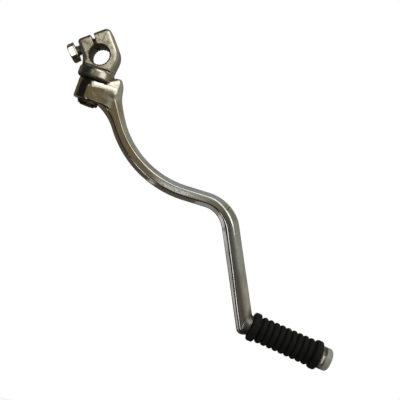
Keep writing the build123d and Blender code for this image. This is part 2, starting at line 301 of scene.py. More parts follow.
arm = {  # millimetres and degrees
    # centreline in X and Z, and the radii of its two bends
    "corners": ((11.0, -17.5), (50.8, -74.4), (122.6, -71.5), (162.3, -147.3)),
    "bends": (72.0, 24.6),
    # forged section, as half sizes, with its flared root
    "waist": 5.45, "leg": 6.3, "depth": 5.7,
    "rootLength": 32.0, "rootFlare": 9.6, "rootShift": 5.0, "rootDepth": 2.4,
    "flankWidth": 3.0, "flankFlare": 3.6, "legFlank": 4.0, "elbowFlank": 3.2, "flankDepth": 4.2,
    "elbowTaper": (50.0, 5.0),  # before the elbow
    "edge": 0.5, "legEdge": 1.1, "rim": 0.8, "legTwist": -9.0,
    # hub, and the spaces cut for the knuckle
    "hubRadius": 11.3, "noseReach": 11.0, "noseRadius": 8.0,
    "hubTop": -18.0, "hubBottom": -33.4, "hubEdge": 1.2, "hubTopEdge": 1.4,
    "discSpace": 14.0, "notchSpace": 12.5, "stubHole": 5.55, "clipSpace": 8.75, "cutEdge": 0.5,
    # stop lug
    "lugStart": 6.0, "lugReach": 19.9, "lugHeight": 5.8, "lugBase": 6.8, "lugTop": 2.6, "lugRoot": 4.5,
    "lugSlope": (0.9, 0.43), "lugCrest": 17.2, "lugLip": 0.8, "lugOverrun": 0.2, "lugLean": 0.82,
    "lugNoseRound": 3.0, "lugSideRound": 2.6, "lugBackRound": 2.0, "lugFootRound": 4.0,
    # elbow, pedal rod and end button
    "elbowReach": 8.2, "elbowRound": 4.6, "pedalDrop": 4.7,
    "shoulderRadius": 6.85, "shoulderLength": 5.0, "shoulderEdge": 0.4, "rodRadius": 5.8, "rodTuck": 1.0,
    "buttonStart": 59.3, "buttonLength": 8.6, "buttonRadius": 8.4, "buttonRound": 2.6, "buttonRim": 0.8,
    "rootFillet": 3.0, "lugFillet": 5.0, "elbowFillet": 1.6, "voxel": 0.46,
    # where marks and colours start and are full
    "coolReflectionAlong": (20.0, 120.0), "ruddyReflectionBeforeEnd": (55.0, 12.0),
    "scuff": (83.0, 107.0), "scuffFade": (6.0, 4.0), "scuffShift": 0.3, "scuffHalf": (0.7, 1.9),
    "scuffFront": (3.0, 4.5), "nick": (123.7, -72.4), "nickHalf": (0.1, 0.5), "nickAside": (1.6, 3.0),
    "elbowShadeOnPedal": (-3.0, 0.6), "elbowShadeAlong": (150.0, 170.0), "lugX": (10.0, 13.0), "lugZ": (-30.0, -25.0),
    "buttonEdge": (58.8, 59.3), "collarEnd": (62.4, 63.6),
    "gleamMiddle": 61.0, "gleamHalf": (0.4, 0.9), "gleamHeight": (2.4, 3.6),
    "crownFrom": -24.5, "crownReach": 6.5,
    # noise scale and detail, then where its patches start and are full
    "stains": (55, 5, 0.45, 0.75), "specks": (900, 2, 0.62, 0.74), "scuffGrain": (2200, 2, 0.40, 0.60),
    "crust": (420, 4, 0.38, 0.58), "haze": (160, 4), "swell": (70, 2),
    "streakScale": (0.05, 0.9, 0.9), "streakDetail": 4, "streakMarks": (0.42, 0.68),
    "colours": {
        # the cool and ruddy tints are painted reflection
        "warm": (0.63, 0.60, 0.52), "coolReflectionTint": (0.66, 0.685, 0.71), "ruddyReflectionTint": (0.80, 0.76, 0.69),
        "stained": (0.34, 0.30, 0.22), "elbowShade": (0.20, 0.178, 0.15), "scuffAndGlint": (0.86, 0.85, 0.81),
        "button": (0.42, 0.42, 0.38), "collar": (0.055, 0.05, 0.032), "gleamHighlight": (0.85, 0.83, 0.72),
        "nick": (0.05, 0.04, 0.03),
    },
    "shares": {
        "ruddyReflectionTint": 0.6, "stain": 0.4, "specks": 0.3, "streaks": 0.4, "shadeAndSoot": 0.85, "scuff": 0.65,
        "collar": 0.35, "crust": 0.6, "nick": 0.7,
    },
    # the plain amount, and what each mark adds
    "metal": {"plain": 1.0, "button": -0.25, "scuff": -0.6},
    "rough": {
        "plain": 0.10, "haze": 0.16, "specks": 0.08, "scuff": 0.3, "button": 0.34, "lug": 0.2, "shadeAndSoot": 0.25,
    },
    "height": {
        "plain": 0.0, "swell": 0.07, "streaks": 0.01, "scuff": 0.015, "nick": -0.3, "crown": -0.033,
    },
}


def layRuns(corners, bends):  # straight and curved runs of the arm's centreline
    corners = [np.array(corner) for corner in corners]
    steps = [after - before for before, after in zip(corners, corners[1:])]
    ways = [step / np.linalg.norm(step) for step in steps]
    runs = []
    start = corners[0]
    done = 0.0
    for index, way in enumerate(ways):
        end = corners[index + 1]
        turn = 0.0
        if index < len(bends):
            nextWay = ways[index + 1]
            turn = math.atan2(way[0] * nextWay[1] - way[1] * nextWay[0], way @ nextWay)
            end = end - way * bends[index] * math.tan(abs(turn) / 2)
        length = np.linalg.norm(end - start)
        runs.append({"start": start, "way": way, "length": length, "bend": 0.0, "from": done})
        done += length
        if turn:
            runs.append({"start": end, "way": way, "length": bends[index] * abs(turn),
                         "bend": math.copysign(bends[index], turn), "from": done})
            done += bends[index] * abs(turn)
            start = corners[index + 1] + nextWay * bends[index] * math.tan(abs(turn) / 2)
    return runs, done


armRuns, armLength = layRuns(arm["corners"], arm["bends"])
legBend, leg = armRuns[-2:]
elbowX, elbowZ = arm["corners"][-1]
pedalDrop = math.radians(arm["pedalDrop"])


def followArm(x, z):  # distances along the centreline, beside it and past its ends
    best = [np.full(x.shape, np.inf)] * 4  # distance from the run, then what is returned
    for run in armRuns:
        wayX, wayZ = run["way"]
        fromX = x - run["start"][0]
        fromZ = z - run["start"][1]
        ahead = fromX * wayX + fromZ * wayZ
        left = fromZ * wayX - fromX * wayZ
        bend = run["bend"]
        if bend:
            turn = math.copysign(1, bend)
            reach = np.hypot(ahead, left - bend)
            distance = abs(bend) * np.arctan2(ahead, turn * (bend - left))
            offset = turn * (abs(bend) - reach)
            inside = (distance >= 0) & (distance <= run["length"])
            away = np.where(inside, np.abs(offset), np.inf)
            over = np.zeros(x.shape)
        else:
            distance = np.clip(ahead, 0, run["length"])
            offset = left
            over = ahead - distance
            away = np.hypot(left, over)
        better = away < best[0]
        found = (away, run["from"] + distance, offset, over)
        best = [np.where(better, new, old) for new, old in zip(found, best)]
    return best[1:]


def pedalPlace(points):  # distance along the pedal's axis and away from it
    x, y, z = points.T
    along = alongLean(x - elbowX, z - elbowZ, -pedalDrop)
    return along, np.hypot(asideLean(x - elbowX, z - elbowZ, -pedalDrop), y)


def shankField(points):  # the forged S-shaped arm without its ends
    x, y, z = points.T
    along, aside, beyond = followArm(x, z)
    flare = np.maximum(0, 1 - along / arm["rootLength"]) ** 2
    toLeg = easeStep(along, legBend["from"], leg["from"])
    half = swept(arm["waist"], arm["leg"], toLeg) + arm["rootFlare"] * flare
    deep = swept(arm["depth"], arm["leg"], toLeg) + arm["rootDepth"] * flare
    twist = np.radians(arm["legTwist"]) * toLeg
    aside = aside + arm["rootShift"] * flare
    across = np.abs(aside * np.cos(twist) + y * np.sin(twist))
    out = np.abs(y * np.cos(twist) - aside * np.sin(twist))
    taperStart, taperEnd = arm["elbowTaper"]
    toElbow = easeStep(along, armLength - taperStart, armLength - taperEnd)
    wide = swept(arm["flankWidth"], arm["legFlank"], toLeg) + arm["flankFlare"] * flare
    wide = wide + (arm["elbowFlank"] - arm["legFlank"]) * toElbow
    tall = arm["flankDepth"] * swept(1, arm["elbowFlank"] / arm["legFlank"], toElbow)
    flank = (tall * (across - half + wide) + wide * (out - deep)) / np.hypot(wide, tall)
    edge = swept(arm["edge"], arm["legEdge"], toLeg)
    section = smoothMax(smoothMax(out - deep, flank, edge), across - half, arm["rim"])
    elbow = roundMeet(section, beyond - arm["elbowReach"], arm["elbowRound"])
    return np.where(beyond < 0, np.hypot(np.maximum(section, 0), beyond), elbow)


def hubWall(ahead, side):  # round at the pivot, narrowing towards the arm
    taper = (arm["hubRadius"] - arm["noseRadius"]) / arm["noseReach"]
    lean = math.sqrt(1 - taper ** 2)
    flat = lean * side + taper * ahead - arm["hubRadius"]
    barrel = np.hypot(ahead, side) - arm["hubRadius"]
    nose = np.hypot(ahead - arm["noseReach"], side) - arm["noseRadius"]
    share = ahead - side * taper / lean
    return np.where(share < 0, barrel, np.where(share > arm["noseReach"], nose, flat))


def lugField(points):  # narrowing upwards, with a top that slopes down to its end
    x, y, z = points.T
    ahead = x - foldAxis
    height = z - arm["hubTop"]
    share = np.clip(height / arm["lugHeight"], 0, 1 + arm["lugOverrun"])
    side = np.abs(y) - swept(arm["lugBase"], arm["lugTop"], share)
    over = height - arm["lugHeight"]
    upward, forward = arm["lugSlope"]
    top = np.maximum(upward * over + forward * (ahead - arm["lugCrest"]), over - arm["lugLip"])
    block = roundMeet(top, ahead - arm["lugReach"], arm["lugNoseRound"])
    block = smoothMax(block, side * arm["lugLean"], arm["lugSideRound"])
    block = smoothMax(block, arm["lugStart"] - ahead, arm["lugBackRound"])
    return smoothMax(block, -height - arm["lugRoot"], arm["lugFootRound"])


def hubField(points):
    x, y, z = points.T
    wall = hubWall(x - foldAxis, np.abs(y))
    lower = roundMeet(wall, arm["hubBottom"] - z, arm["hubEdge"])
    upper = roundMeet(wall, z - arm["hubTop"], arm["hubTopEdge"])
    return np.maximum(lower, upper)


def armField(points):
    x, y, z = points.T
    reach = np.hypot(x - foldAxis, y)
    above = arm["hubTop"] - z
    below = z - arm["hubBottom"]
    body = smoothMin(shankField(points), hubField(points), arm["rootFillet"])
    body = smoothMax(body, -np.maximum(reach - arm["discSpace"], above), arm["cutEdge"])
    body = smoothMin(body, lugField(points), arm["lugFillet"])
    body = np.maximum(body, -np.maximum(reach - arm["notchSpace"], above))
    body = smoothMax(body, -np.maximum(reach - arm["clipSpace"], below), arm["cutEdge"])
    body = smoothMax(body, arm["stubHole"] - reach, arm["cutEdge"])
    pedal, away = pedalPlace(points)
    collar = between(pedal, 0, arm["shoulderLength"])
    shoulder = roundMeet(away - arm["shoulderRadius"], collar, arm["shoulderEdge"])
    body = smoothMin(body, shoulder, arm["elbowFillet"])
    start = arm["buttonStart"]
    rod = np.maximum(away - arm["rodRadius"], between(pedal, 0, start + arm["rodTuck"]))
    wall = away - arm["buttonRadius"]
    button = np.maximum(
        roundMeet(wall, pedal - start - arm["buttonLength"], arm["buttonRound"]),
        roundMeet(wall, start - pedal, arm["buttonRim"]),
    )
    return np.minimum(body, np.minimum(rod, button))


def scuffPatch(board, along, aside, y):  # scuffed strip on the arm's front, where the light specks are painted highlights
    first, last = arm["scuff"]
    outer, inner = arm["scuffFade"]
    starts = board.step(along, first - outer, first + inner)
    ends = board.step(along, last - inner, last + outer)
    outside = board.step(abs(aside + arm["scuffShift"]), *arm["scuffHalf"])
    return starts * (1 - ends) * (1 - outside) * board.step(-1 * y, *arm["scuffFront"])


def armMaterial():
    material, board = newMaterial("worn_arm_chrome")
    place = board.place()
    x, y, z = board.axes(place)
    along = board.trait("along")
    aside = board.trait("aside")
    pedal = board.trait("pedal")

    # marks
    drawn = [value * scale for value, scale in zip((along, aside, y), arm["streakScale"])]
    streaks = board.noise(board.node("CombineXYZ", {}, dict(enumerate(drawn))), 1.0, arm["streakDetail"])
    stain = board.patches(place, *arm["stains"])
    specks = board.patches(place, *arm["specks"])
    crust = board.patches(place, *arm["crust"])
    haze = board.noise(place, *arm["haze"])
    swell = board.noise(place, *arm["swell"])

    # places
    # real scuffing in roughness and bump, with its light specks painted highlights
    scuff = scuffPatch(board, along, aside, y) * board.patches(place, *arm["scuffGrain"])
    nickAlong = followArm(*np.array(arm["nick"])[:, None])[0][0]
    nick = 1 - board.step(abs(along - nickAlong), *arm["nickHalf"])
    nick = nick * board.step(aside, *arm["nickAside"]) * arm["shares"]["nick"]
    # painted shade: the elbow and the rod past it darkened, with rougher metal
    shadeAndSoot = board.step(pedal, *arm["elbowShadeOnPedal"]) * board.step(along, *arm["elbowShadeAlong"])
    lug = board.step(x, *arm["lugX"]) * board.step(z, *arm["lugZ"])
    button = board.step(pedal, *arm["buttonEdge"])
    collar = button * (1 - board.step(pedal, *arm["collarEnd"]))
    beside = asideLean(x - elbowX, z - elbowZ, -pedalDrop)
    # painted highlight: a bright streak round the button's collar
    gleam = collar * (1 - board.step(abs(pedal - arm["gleamMiddle"]), *arm["gleamHalf"]))
    gleam = gleam * (1 - board.step(abs(beside), *arm["gleamHeight"]))
    crown = board.held(z - arm["crownFrom"], 0.0, arm["crownReach"])  # top of the hub leans back

    shares = arm["shares"]
    ruddyStart, ruddyFull = arm["ruddyReflectionBeforeEnd"]
    streakMarks = board.step(streaks, *arm["streakMarks"])
    colour = board.layers(arm["colours"], "warm", {
        # painted reflection: the chrome's tint turns cooler along the arm, and lighter and ruddier near its
        # end
        "coolReflectionTint": board.step(along, *arm["coolReflectionAlong"]),
        "ruddyReflectionTint": board.step(along, armLength - ruddyStart, armLength - ruddyFull) * shares["ruddyReflectionTint"],
        "stained": stain * shares["stain"] + specks * shares["specks"] + streakMarks * shares["streaks"],
        "elbowShade": shadeAndSoot * shares["shadeAndSoot"],
        "scuffAndGlint": scuff * shares["scuff"],
        "button": button,
        "collar": collar * (shares["collar"] + crust * shares["crust"]),
        "gleamHighlight": gleam,
        "nick": nick,
    })
    masks = {
        "haze": haze * stain, "specks": specks, "scuff": scuff, "button": button, "lug": lug, "shadeAndSoot": shadeAndSoot,
        "swell": swell, "streaks": streaks, "nick": nick, "crown": crown * crown,
    }
    normal = board.bump(mixed(arm["height"], masks), 1.0)
    surface(board, colour, mixed(arm["metal"], masks), mixed(arm["rough"], masks), normal)
    return material


def makeArm():
    points, faces, edges = evenMesh("kick_arm", arm["voxel"])
    points = settle(points, edges, armField)
    piece = addPiece("chromed_arm", points, faces, "lever_body", "kick_arm", armMaterial())
    along, aside = followArm(points[:, 0], points[:, 2])[:2]
    keepTrait(piece, "along", along)
    keepTrait(piece, "aside", aside)
    keepTrait(piece, "pedal", pedalPlace(points)[0])


# Knuckle

knuckle = {  # millimetres and degrees
    # clamp, across and along its leaning slit
    "lean": 40.0, "left": 11.3, "right": 13.6, "top": 16.3, "depth": 10.0,
    "leftCorner": 2.6, "rightCorner": 4.0, "edge": 3.3, "slit": 1.2,
    # neck down to the disc
    "neckLeft": 9.6, "neckRight": 13.9, "neckFoot": 12.2, "neckHeight": 3.6, "neckEnd": 4.0,
    "shoulderHeight": 4.6, "shoulder": 5.0, "rightBlend": 4.0, "footSink": 1.2,
    # bore and its toothed sleeve
    "boreRadius": 7.0, "boreSpace": 7.9, "mouth": 8.0, "mouthLength": 1.0,
    "teeth": 24, "toothDepth": 0.32, "toothShare": 0.6, "toothEase": 0.02,
    "toothFlat": 1.1, "toothPoints": 20, "sleeveInset": 0.05, "sleeveWall": 0.3,
    # bolt's line and hole
    "boltRise": 11.15, "boltLean": 44.0, "boltStart": -15.0, "boltHole": 3.95, "boltHoleLength": 23.0,
    # disc, its notch for the lug, and the stub with the clip's groove
    "discTop": -9.7, "discBottom": -17.9, "discRadius": 13.7, "discTopEdge": 2.4, "discLowEdge": 2.4,
    "notchRadius": 12.2, "notchSpread": 0.213, "notchRoof": 0.3,
    "lugTop": -12.0, "lugBase": 7.0, "lugHalf": 2.8, "lugOverrun": 0.2,
    "stubRadius": 5.5, "stubBottom": -37.0, "stubTuck": 2.0,
    "grooveRadius": 5.0, "grooveLow": -36.1, "grooveHigh": -34.7,
    "notchEdge": 0.5, "clampFillet": 0.8, "stubEdge": 0.6, "boreEdge": 0.4, "slitEdge": 0.6, "holeEdge": 0.4,
    "voxel": 0.36,
    # old grease in the slit: Y and share of its full size for each ring
    "greaseRings": ((4.4, 0.0), (4.4, 0.7), (5.4, 1.0), (7.4, 0.95), (9.0, 0.9), (9.3, 0.6), (9.3, 0.0)),
    "greaseColumns": 16, "greaseFill": 1.05, "greaseRise": 8.6, "greaseHalf": 1.6, "greaseSquare": (1.4, 1.2),
    # where colours start and are full
    "aboveDisc": (-9.9, -9.3), "flatFace": (9.7, 9.96), "leftJaw": (-10.0, 3.0),
    "rightEdge": (6.0, 11.0), "frontEdge": (6.4, 7.4), "discEnd": (8.0, 13.0),
    "creaseFront": (8.4, 9.4), "creaseTop": (-9.0, -8.0), "underDisc": (-17.2, -15.4),
    # noise scale, detail and roughness, or where its patches start and are full
    "mottle": (320, 5, 0.65), "pits": (640, 1, 0.62, 0.68), "grainScale": (900, 900, 300), "grainDetail": 3,
    "mottleMarks": (0.44, 0.64), "grainMarks": (0.5, 0.7),
    "colours": {
        "bright": (0.62, 0.60, 0.54), "face": (0.62, 0.575, 0.44), "darkerTone": (0.26, 0.225, 0.155),
        "creaseShade": (0.05, 0.043, 0.034),
    },
    "shares": {
        "mottle": 0.75, "grain": 0.45, "pits": 0.7, "leftJaw": 0.3, "edges": 0.8, "spared": 0.55,
        "disc": 0.3, "discEnd": 0.6, "under": 0.85,
    },
    "metal": {"plain": 1.0, "face": -0.5, "edges": -0.12},
    "rough": {"plain": 0.12, "disc": 0.08, "face": 0.30, "mottle": 0.1, "creaseShade": 0.3, "edges": 0.1},
    "pitDepth": 0.10,
    # oily steel of the bore and the grease, painted dark for the shade inside the bore
    "boreColours": {"oilAndShade": (0.12, 0.10, 0.065), "shadeAndSoot": (0.035, 0.029, 0.02)}, "boreSmear": (420, 4),
    "boreMetal": 0.7, "boreRough": {"plain": 0.38, "smear": 0.2}, "boreDepth": 0.05,
}
clampLean = math.radians(knuckle["lean"])
boltWay = math.radians(knuckle["boltLean"])
boltX = -knuckle["boltRise"] * math.sin(clampLean)  # where the bolt crosses the slit
boltZ = knuckle["boltRise"] * math.cos(clampLean)


def boltPlace(points):  # along the bolt from under its head, and away from its axis
    x, y, z = points.T
    along = alongLean(x - boltX, z - boltZ, boltWay) - knuckle["boltStart"]
    return along, np.hypot(asideLean(x - boltX, z - boltZ, boltWay), y)


def clampField(points):
    x, y, z = points.T
    across = alongLean(x, z, clampLean)
    over = asideLean(x, z, clampLean) - knuckle["top"]
    tall = knuckle["shoulderHeight"] - knuckle["discTop"]
    inward = knuckle["neckFoot"] - knuckle["neckRight"]
    fall = math.hypot(tall, inward)
    right = (x - knuckle["neckFoot"]) * (tall / fall) + (z - knuckle["discTop"]) * (inward / fall)
    foot = knuckle["discTop"] - knuckle["footSink"] - z
    outline = roundMeet(across - knuckle["right"], over, knuckle["rightCorner"])
    outline = np.maximum(outline, roundMeet(-across - knuckle["left"], over, knuckle["leftCorner"]))
    outline = smoothMax(outline, right, knuckle["rightBlend"])
    outline = np.maximum(outline, foot)
    neckTop = np.maximum(z - knuckle["discTop"] - knuckle["neckHeight"], x - knuckle["neckEnd"])
    neck = np.maximum(np.maximum(-x - knuckle["neckLeft"], foot), neckTop)
    outline = smoothMin(outline, neck, knuckle["shoulder"])
    return roundMeet(outline, np.abs(y) - knuckle["depth"], knuckle["edge"])


def notchField(x, y, z):  # the lug's section, swept from one end of the fold to the other
    spread = knuckle["notchSpread"]
    sweep = np.maximum(-(spread * x + y), -(x + spread * y)) / math.hypot(1, spread)
    overrun = knuckle["lugOverrun"]
    share = (z - knuckle["discBottom"]) / (knuckle["lugTop"] - knuckle["discBottom"])
    share = np.clip(share, -overrun, 1 + overrun)
    half = swept(knuckle["lugBase"], knuckle["lugHalf"], share)
    ends = []
    for forward, sideways in ((x, y), (y, x)):
        ends.append(np.maximum(np.maximum(np.abs(sideways) - half, z - knuckle["lugTop"]), -forward))
    space = np.minimum(sweep, np.minimum(*ends))
    space = np.maximum(space, knuckle["notchRadius"] - np.hypot(x, y))
    return np.maximum(space, z - knuckle["discTop"] + knuckle["notchRoof"])


def knuckleField(points):
    x, y, z = points.T
    reach = np.hypot(x - foldAxis, y)
    rim = reach - knuckle["discRadius"]
    disc = roundMeet(rim, z - knuckle["discTop"], knuckle["discTopEdge"])
    disc = np.maximum(disc, roundMeet(rim, knuckle["discBottom"] - z, knuckle["discLowEdge"]))
    disc = smoothMax(disc, -notchField(x - foldAxis, y, z), knuckle["notchEdge"])
    body = smoothMin(clampField(points), disc, knuckle["clampFillet"])
    ends = between(z, knuckle["stubBottom"], knuckle["discBottom"] + knuckle["stubTuck"])
    stub = roundMeet(reach - knuckle["stubRadius"], ends, knuckle["stubEdge"])
    walls = between(z, knuckle["grooveLow"], knuckle["grooveHigh"])
    groove = np.maximum(knuckle["grooveRadius"] - reach, walls)
    body = np.minimum(body, np.maximum(stub, -groove))
    bore = np.hypot(x, z) - knuckle["boreSpace"]
    across = np.abs(alongLean(x, z, clampLean))
    slit = np.maximum(across - knuckle["slit"], -asideLean(x, z, clampLean))
    body = smoothMax(body, -bore, knuckle["boreEdge"])
    body = smoothMax(body, -slit, knuckle["slitEdge"])
    boltAlong, boltAway = boltPlace(points)
    hole = np.maximum(boltAway - knuckle["boltHole"], boltAlong - knuckle["boltHoleLength"])
    return smoothMax(body, -hole, knuckle["holeEdge"])


def serratedSleeve():  # toothed bore wall with chamfered mouths, open at the slit
    gap = math.asin(knuckle["slit"] / knuckle["boreRadius"])
    teeth = knuckle["teeth"]
    turn = np.linspace(gap, 2 * math.pi - gap, knuckle["toothPoints"] * teeth + 1)
    angle = turn + math.pi / 2 + clampLean
    phase = (turn * teeth / (2 * math.pi)) % 1
    half = knuckle["toothShare"] / 2 + knuckle["toothEase"]
    groove = np.maximum(0, 1 - np.abs(phase - 0.5) / half)
    groove = np.minimum(groove * knuckle["toothFlat"], 1)
    toothed = knuckle["boreRadius"] + knuckle["toothDepth"] * groove
    mouth = np.maximum(toothed, knuckle["mouth"])
    outer = np.full_like(turn, knuckle["mouth"] + knuckle["sleeveWall"])
    deep = knuckle["depth"] - knuckle["sleeveInset"]
    inner = deep - knuckle["mouthLength"]
    rings = []
    for y, radius in (
        (-deep, outer), (-deep, mouth), (-inner, toothed), (0, toothed),
        (inner, toothed), (deep, mouth), (deep, outer),
    ):
        rings.append(np.stack((radius * np.cos(angle), np.full_like(turn, y), radius * np.sin(angle)), 1))
    points = np.stack(rings, 1).reshape(-1, 3)
    faces = ringFaces(len(turn), len(rings))
    faces.append(tuple(range(len(rings)))[::-1])
    faces.append(tuple(range(len(points) - len(rings), len(points))))
    return points, faces


def packedGrease():  # old grease in the slit, behind the bolt
    angle = fullTurn(knuckle["greaseColumns"])
    squareAcross, squareAlong = knuckle["greaseSquare"]
    wide = knuckle["slit"] * knuckle["greaseFill"]
    rings = []
    for y, size in knuckle["greaseRings"]:
        across = wide * size * np.clip(squareAcross * np.cos(angle), -1, 1)
        swell = knuckle["greaseHalf"] * size * np.clip(squareAlong * np.sin(angle), -1, 1)
        along = knuckle["greaseRise"] + swell
        x = alongLean(across, along, -clampLean)
        z = asideLean(across, along, -clampLean)
        rings.append(np.stack((x, np.full_like(x, y), z), 1))
    return np.concatenate(rings), ringFaces(len(rings), len(angle))


def knuckleMaterial():
    material, board = newMaterial("satin_knuckle_chrome")
    place = board.place()
    x, y, z = board.axes(place)
    across = alongLean(x, z, clampLean)
    shares = knuckle["shares"]

    # places
    above = board.step(z, *knuckle["aboveDisc"])
    flat = board.step(abs(y), *knuckle["flatFace"]) * above
    spared = board.step(across, *knuckle["rightEdge"]) * board.step(abs(y), *knuckle["frontEdge"])
    # painted shade: the clamp's walls and rounded edges darkened, less at the right front edge
    edges = (1 - flat) * above * (1 - shares["spared"] * spared)
    leftJaw = 1 - board.step(across, *knuckle["leftJaw"])
    # painted shade in the crease where the clamp meets the disc, and under the disc's lower rim
    crease = board.step(abs(y), *knuckle["creaseFront"]) * above
    crease = crease * (1 - board.step(z, *knuckle["creaseTop"]))
    under = 1 - board.step(z, *knuckle["underDisc"])

    # marks
    mottle = board.noise(place, *knuckle["mottle"])
    grain = board.noise(board.stretched(place, knuckle["grainScale"]), 1, knuckle["grainDetail"])
    pits = board.patches(place, *knuckle["pits"])
    darkerTone = board.step(mottle, *knuckle["mottleMarks"]) * shares["mottle"] + pits * shares["pits"]
    darkerTone = darkerTone + board.step(grain, *knuckle["grainMarks"]) * shares["grain"]
    # the disc darker, more so towards its right end
    discDarker = (1 - above) * (shares["disc"] + board.step(x, *knuckle["discEnd"]) * shares["discEnd"])

    # darkerTone: real wear marks on the face, and painted shade on the walls and edges
    colour = board.layers(knuckle["colours"], "bright", {
        "face": flat,
        "darkerTone": flat * (darkerTone + leftJaw * shares["leftJaw"]) + edges * shares["edges"] + discDarker,
        "creaseShade": crease + under * shares["under"],
    })
    masks = {"disc": 1 - above, "face": flat, "mottle": mottle, "creaseShade": crease + under, "edges": edges}
    normal = board.bump((mottle - pits) * flat, knuckle["pitDepth"])
    surface(board, colour, mixed(knuckle["metal"], masks), mixed(knuckle["rough"], masks), normal)
    return material


def boreMaterial():
    material, board = newMaterial("oily_bore_steel_and_shade")
    smear = board.noise(board.place(), *knuckle["boreSmear"])
    # the oily steel painted dark as shade inside the bore
    colour = board.layers(knuckle["boreColours"], "oilAndShade", {"shadeAndSoot": smear})
    roughness = mixed(knuckle["boreRough"], {"smear": smear})
    surface(board, colour, knuckle["boreMetal"], roughness, board.bump(smear, knuckle["boreDepth"]))
    return material


def makeKnuckle():
    points, faces, edges = evenMesh("knuckle", knuckle["voxel"])
    points = settle(points, edges, knuckleField)
    outside = len(faces)
    points, faces = joined(points, faces, *serratedSleeve())
    points, faces = joined(points, faces, *packedGrease())
    chrome = knuckleMaterial()
    piece = addPiece("clamp_knuckle", points, faces, "knuckle_body", "knuckle", chrome)
    piece.data.materials.append(boreMaterial())
    slots = np.arange(len(piece.data.polygons)) >= outside
    piece.data.polygons.foreach_set("material_index", slots.astype(np.int32))


# Pinch bolt

bolt = {  # millimetres and degrees
    "flats": 13.0, "headHeight": 5.3, "faceRadius": 6.1, "bevel": 60.0, "turned": 30.0,
    "faceRings": (0.0, 0.5, 1.0),  # shares of the end face's radius
    "headRings": (0.1, 0.2, 0.3, 0.4, 0.5, 0.6, 0.7, 0.85, 1.2, 2.6, 4.0, 5.1),  # depths, close on the bevel
    "underEdge": 0.15, "underRing": 0.2,
    "crest": 3.88, "root": 3.2, "pitch": 1.25, "length": 22.0, "tip": 0.8,
    "threadStart": (0.2, 1.1), "flankSlope": 2.6, "crestFlat": 0.15,
    "columns": 96, "stepsPerTurn": 10,
    "colours": {"bright": (0.72, 0.72, 0.68), "cloudy": (0.60, 0.59, 0.53), "thread": (0.42, 0.38, 0.28)},
    "cloud": (240, 4), "threadEdge": (0.05, 0.3),
    "rough": {"plain": 0.10, "cloud": 0.12, "thread": 0.28}, "cloudDepth": 0.02,
}


def boltRings():  # distance along the bolt and radius of each ring, from the head's end
    angle = fullTurn(bolt["columns"])
    sixth = math.pi / 3
    toFlat = (angle + math.radians(bolt["turned"])) % sixth - sixth / 2
    hexagon = bolt["flats"] / 2 / np.cos(toFlat)
    rise = math.tan(math.radians(bolt["bevel"]))
    rings = [(-bolt["headHeight"], share * bolt["faceRadius"]) for share in bolt["faceRings"]]
    for depth in bolt["headRings"]:
        rings.append((depth - bolt["headHeight"], np.minimum(hexagon, bolt["faceRadius"] + rise * depth)))
    rings.append((0.0, hexagon - bolt["underEdge"]))
    rings.append((0.0, bolt["crest"] + bolt["underRing"]))
    steps = int(bolt["length"] / bolt["pitch"] * bolt["stepsPerTurn"])
    for step in range(1, steps + 1):
        along = bolt["length"] * step / steps
        phase = (along / bolt["pitch"] - angle / (2 * math.pi)) % 1
        flank = np.clip(np.abs(phase - 0.5) * bolt["flankSlope"] - bolt["crestFlat"], 0, 1)
        cut = easeStep(along, *bolt["threadStart"])
        radius = swept(bolt["crest"], bolt["root"], flank * cut)
        chamfer = bolt["length"] - along + bolt["crest"] - bolt["tip"]
        rings.append((along, np.minimum(radius, chamfer)))
    rings.append((bolt["length"], 0.0))
    return angle, [(np.full_like(angle, along), np.zeros_like(angle) + radius) for along, radius in rings]


def boltMaterial():
    material, board = newMaterial("zinc_bolt_steel")
    cloud = board.noise(board.place(), *bolt["cloud"])
    thread = board.step(board.trait("shank"), *bolt["threadEdge"])
    colour = board.layers(bolt["colours"], "bright", {"cloudy": cloud, "thread": thread})
    roughness = mixed(bolt["rough"], {"cloud": cloud, "thread": thread})
    surface(board, colour, 1.0, roughness, board.bump(cloud, bolt["cloudDepth"]))
    return material


def makeBolt():
    angle, rings = boltRings()
    way = np.array((math.cos(boltWay), 0, math.sin(boltWay)))
    start = np.array((boltX, 0, boltZ)) + knuckle["boltStart"] * way
    points = np.concatenate([alongAxis(start, way, along, radius, angle) for along, radius in rings])
    faces = ringFaces(len(rings), len(angle))
    zinc = boltMaterial()
    piece = addPiece("hex_bolt", points, faces, "knuckle_body", "pinch_bolt", zinc)
    keepTrait(piece, "shank", np.concatenate([along for along, radius in rings]))


# Pedal rubber

rubber = {  # millimetres
    "start": 5.05, "length": 54.2, "bore": 5.85, "valley": 7.9, "columns": 144,
    "ribs": 9, "ribHeight": 2.1, "pitch": 4.6, "land": 1.0, "ribPoints": 12,
    "flange": 10.8, "flangeLength": 5.4, "flangeRound": 1.6, "cornerPoints": 8,
    "boreLip": 1.0, "faceInset": 0.3, "endPoints": 4, "facePoints": 3,
    # worn out of round: lobes, twist, phase and strength of each wave
    "sag": 0.12, "sink": 0.6, "outerFrom": 0.5, "waves": ((2, 0.09, 0.0, 1.0), (3, -0.16, 1.0, 0.6)),
    "colours": {"black": (0.0048, 0.0050, 0.0032), "dusty": (0.010, 0.010, 0.007)},
    "grain": (1500, 3), "dust": (120, 4, 0.5, 0.8), "dustShare": 0.5,
    "rough": {"plain": 0.55, "grain": 0.25}, "specular": 0.22, "grainDepth": 0.08,
}


